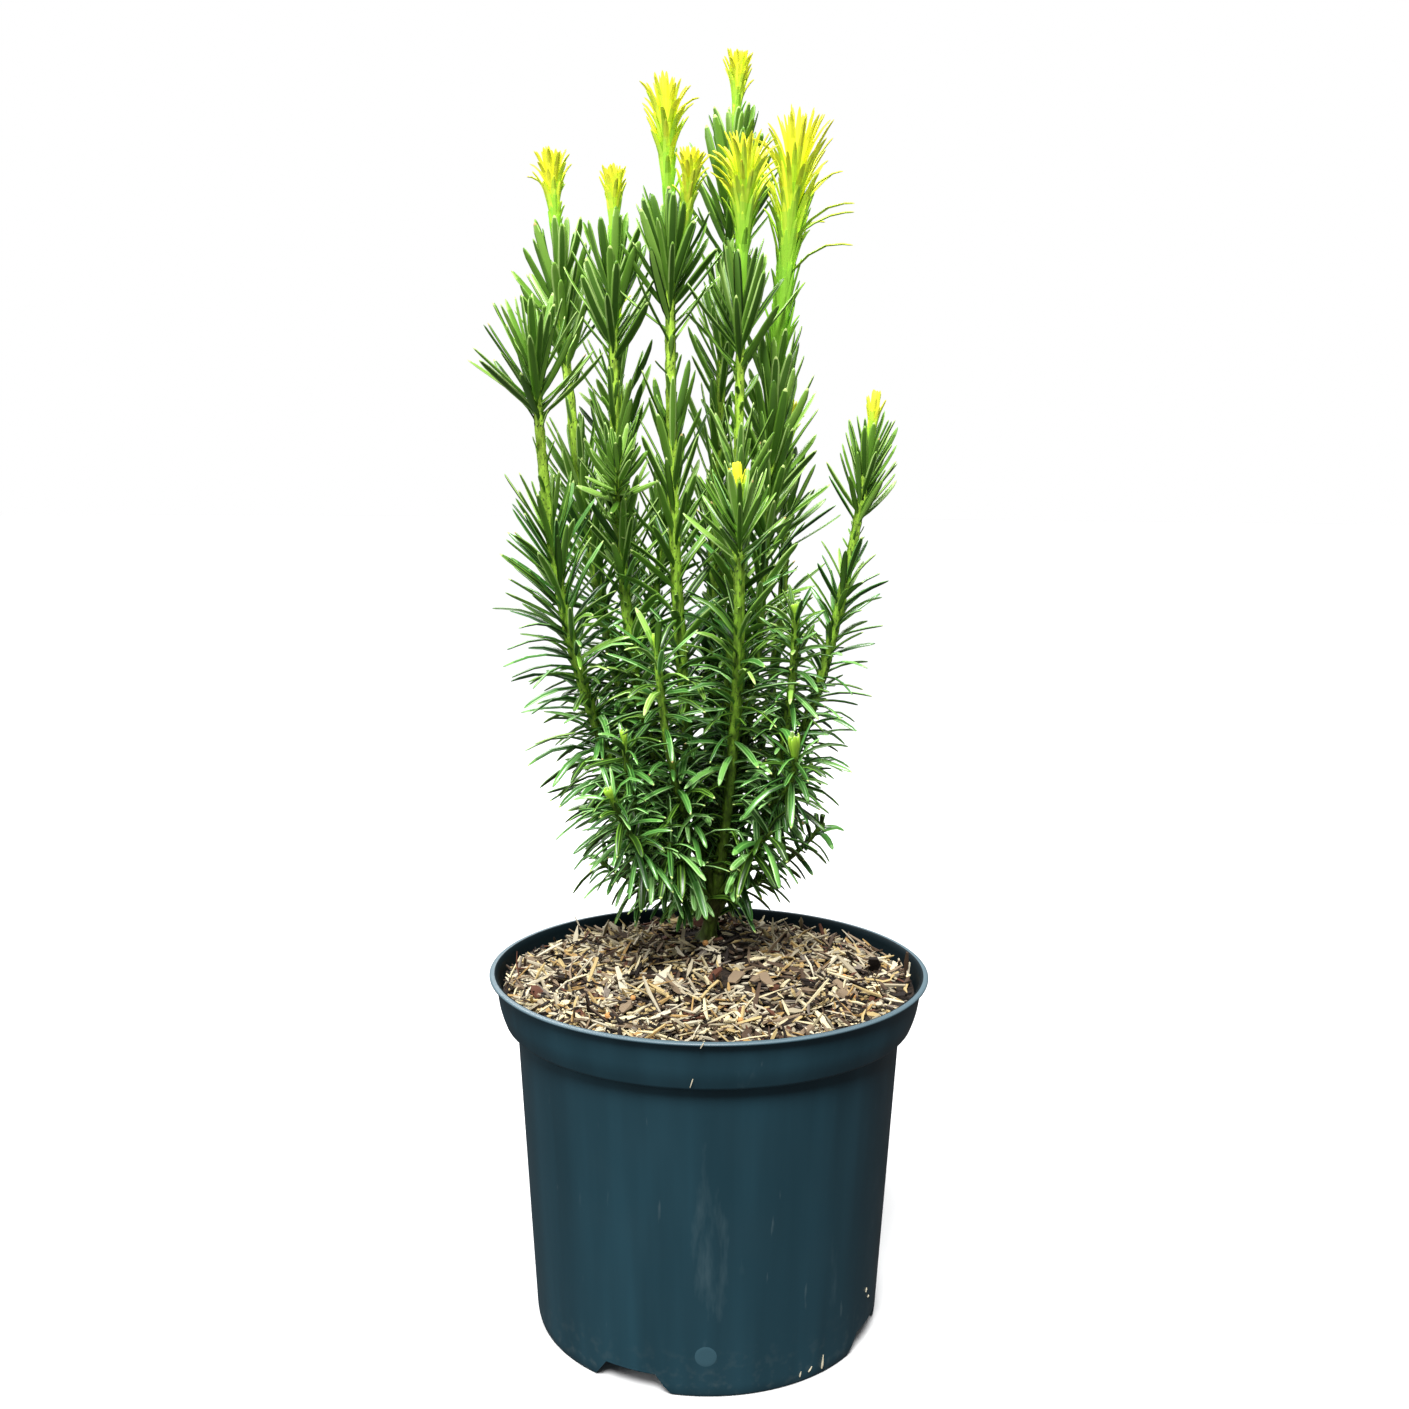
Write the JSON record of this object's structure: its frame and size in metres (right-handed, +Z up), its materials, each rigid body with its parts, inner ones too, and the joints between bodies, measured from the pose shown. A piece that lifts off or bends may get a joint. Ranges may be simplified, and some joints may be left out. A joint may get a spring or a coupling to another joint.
{
  "type": "upright plum yew in a nursery pot",
  "caption": "Young upright plum yew: leafy green stems with yellow new tips, rising from a compost-filled round plastic nursery pot.",
  "frame": {"origin": "centre of the pot's underside, level with the ground it stands on", "axes": "+Z up along the stems, -Y the front that the picture shows, +X to the viewer's right"},
  "size_m": [0.19, 0.19, 0.5464],
  "materials": {
    "pot_plastic": "satin dark petrol blue",
    "compost": "loose fibrous bark compost",
    "bark": "ribbed olive green to brown stems",
    "needles": "glossy dark green needles",
    "new_needles": "soft lime to yellow new growth"
  },
  "bodies": {
    "root": {"bough_back_left": "bark", "bough_back_middle": "bark", "bough_back_right": "bark", "bough_back_tall": "bark", "bough_centre_right": "bark", "bough_centre_tall": "bark", "bough_left_mid": "bark", "bough_left_outer": "bark", "bough_left_tall": "bark", "bough_middle_short": "bark", "bough_right_lime": "bark", "bough_right_outer": "bark", "bough_right_short": "bark", "pot": "pot_plastic", "shoot_back_comb": "needles", "shoot_back_left": "needles", "shoot_back_middle": "needles", "shoot_back_right": "needles", "shoot_back_tall": "needles", "shoot_centre_right": "needles", "shoot_centre_tall": "needles", "shoot_front": "needles", "shoot_left_bud": "needles", "shoot_left_fan": "needles", "shoot_left_mid": "needles", "shoot_left_outer": "needles", "shoot_left_rosette": "needles", "shoot_left_tall": "needles", "shoot_left_twig": "needles", "shoot_low_back": "needles", "shoot_low_front": "needles", "shoot_low_front_right": "needles", "shoot_low_left_back": "needles", "shoot_low_right": "needles", "shoot_low_right_back": "needles", "shoot_middle_short": "needles", "shoot_right_bud": "needles", "shoot_right_lime": "needles", "shoot_right_outer": "needles", "shoot_right_short": "needles", "soil": "compost", "tip_back_left": "new_needles", "tip_back_right": "new_needles", "tip_back_tall": "new_needles", "tip_centre_right": "new_needles", "tip_centre_side": "new_needles", "tip_centre_tall": "new_needles", "tip_front": "new_needles", "tip_left_mid": "new_needles", "tip_left_tall": "new_needles", "tip_right_lime": "new_needles", "tip_right_outer": "new_needles", "trunk": "bark"}
  },
  "joints": []
}
